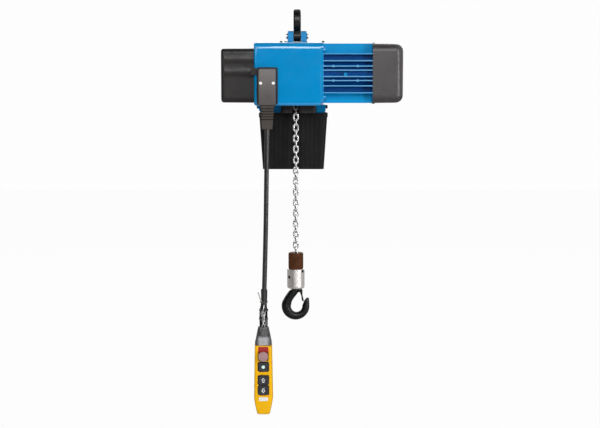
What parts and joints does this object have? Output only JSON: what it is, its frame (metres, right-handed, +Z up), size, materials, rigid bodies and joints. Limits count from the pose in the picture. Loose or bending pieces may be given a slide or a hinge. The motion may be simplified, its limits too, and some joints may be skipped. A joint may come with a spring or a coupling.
{
  "type": "electric chain hoist",
  "caption": "Electric chain hoist with finned motor, suspension eye, load chain with swivel hook and latch, chain bucket and a push-button pendant on a cable.",
  "frame": {"origin": "centre of the suspension eye's bore", "axes": "+X along the eye bore towards the motor, +Y to the back, +Z up; the front with the control plug and the pendant keys faces -Y"},
  "size_m": [0.4975, 0.2724, 1.1152],
  "materials": {
    "forged_black": "satin black paint",
    "blue_paint": "semi-gloss enamel",
    "black_plastic": "fine-textured moulding",
    "plug_grey": "satin moulding",
    "steel": "bright",
    "zinc": "bright zinc plated",
    "cast_alu": "turned",
    "copper": "enamelled wire",
    "yellow_plastic": "satin moulding",
    "red_plastic": "satin moulding",
    "key_black": "satin moulding",
    "terminal_white": "satin moulding",
    "brown_rubber": "cellular rubber",
    "cable_rubber": "matt sheath",
    "boot_rubber": "matt",
    "friction": "friction lining"
  },
  "bodies": {
    "eye": {"suspension_eye": "forged_black"},
    "rotor": {"motor_shaft": "steel", "rotor_core": "cast_alu", "fan": "black_plastic", "brake_disc": "friction"},
    "idler": {"idler_shaft": "steel", "idler_gear": "steel"},
    "wheel": {"load_wheel": "steel", "output_gear": "steel"},
    "hook_block": {"chain_buffer": "brown_rubber", "block_left": "cast_alu", "block_right": "cast_alu", "block_screws": "steel", "anchor_pin": "steel", "thrust_bearing": "steel"},
    "hook": {"hook": "forged_black", "hook_nut": "steel", "latch_pin": "steel"},
    "latch": {"latch": "zinc"},
    "pendant": {"pendant_cable": "cable_rubber", "strain_wires": "steel", "cable_ties": "black_plastic", "pendant_boot": "boot_rubber", "pendant_front": "yellow_plastic", "pendant_back": "yellow_plastic", "pendant_screws": "steel", "contact_blocks": "key_black"},
    "stop_button": {"stop_button": "red_plastic"},
    "start_button": {"start_button": "key_black"},
    "up_button": {"up_button": "key_black"},
    "down_button": {"down_button": "key_black"},
    "hoist": {"suspension_pin": "steel", "pin_retainers": "forged_black", "gear_housing": "blue_paint", "gearbox_plate": "cast_alu", "motor_flange": "blue_paint", "flange_bolts": "steel", "control_cover": "black_plastic", "cover_screws": "steel", "control_panel": "steel", "contactors": "key_black", "terminal_block": "terminal_white", "mains_gland": "black_plastic", "chain_guide": "black_plastic", "chain_bucket": "black_plastic", "bucket_bolts": "forged_black", "bearings": "steel", "motor_housing": "blue_paint", "stator_core": "steel", "stator_winding": "copper", "end_shield": "blue_paint", "brake_coil": "friction", "fan_cowl": "black_plastic", "cowl_screws": "forged_black", "plug_socket": "black_plastic", "control_plug": "plug_grey", "plug_screws": "steel", "plug_boot": "plug_grey", "load_chain": "zinc", "slack_chain": "zinc"}
  },
  "joints": [
    {"name": "swing", "type": "hinge", "parent": "eye", "child": "hoist", "pos_m": [0, 0, -0.042], "axis": [1, 0, 0], "range_deg": [-25, 25]},
    {"name": "motor_turn", "type": "hinge", "parent": "hoist", "child": "rotor", "pos_m": [0.15, 0, -0.1443], "axis": [-1, 0, 0], "range_deg": [0, 23280]},
    {"name": "idler_turn", "type": "hinge", "parent": "hoist", "child": "idler", "pos_m": [0.05, -0.02557, -0.18133], "axis": [-1, 0, 0], "range_deg": [-4657, 1]},
    {"name": "wheel_turn", "type": "hinge", "parent": "hoist", "child": "wheel", "pos_m": [-0.004, 0.02417, -0.1603], "axis": [-1, 0, 0], "range_deg": [-1, 932.2]},
    {"name": "lift", "type": "slide", "parent": "hoist", "child": "hook_block", "axis": [0, 0, 1], "range_m": [0, 0.3885], "deforming": ["load_chain", "slack_chain"]},
    {"name": "hook_swivel", "type": "hinge", "parent": "hook_block", "child": "hook", "pos_m": [-0.004, 0, -0.74905], "axis": [0, 0, 1], "continuous": true},
    {"name": "latch_open", "type": "hinge", "parent": "hook", "child": "latch", "pos_m": [0.0105, 0, -0.75655], "axis": [0, 1, 0], "range_deg": [0, 40], "stiffness_Nm_per_rad": 0.06, "springref_deg": -28.65},
    {"name": "pendant_swing", "type": "hinge", "parent": "hoist", "child": "pendant", "pos_m": [-0.0812, -0.108, -0.2942], "axis": [1, 0, 0], "range_deg": [-12, 12]},
    {"name": "stop_press", "type": "slide", "parent": "pendant", "child": "stop_button", "axis": [0, 1, 0], "range_m": [0, 0.004], "stiffness_N_per_m": 1500, "springref_m": -0.002},
    {"name": "start_press", "type": "slide", "parent": "pendant", "child": "start_button", "axis": [0, 1, 0], "range_m": [0, 0.004], "stiffness_N_per_m": 900, "springref_m": -0.002},
    {"name": "up_press", "type": "slide", "parent": "pendant", "child": "up_button", "axis": [0, 1, 0], "range_m": [0, 0.004], "stiffness_N_per_m": 900, "springref_m": -0.002},
    {"name": "down_press", "type": "slide", "parent": "pendant", "child": "down_button", "axis": [0, 1, 0], "range_m": [0, 0.004], "stiffness_N_per_m": 900, "springref_m": -0.002}
  ],
  "couplings": [
    {"joint": "idler_turn", "follows": "motor_turn", "ratio": -0.2},
    {"joint": "wheel_turn", "follows": "motor_turn", "ratio": 0.04},
    {"joint": "lift", "follows": "motor_turn", "m_per_rad": 0.00095493}
  ]
}
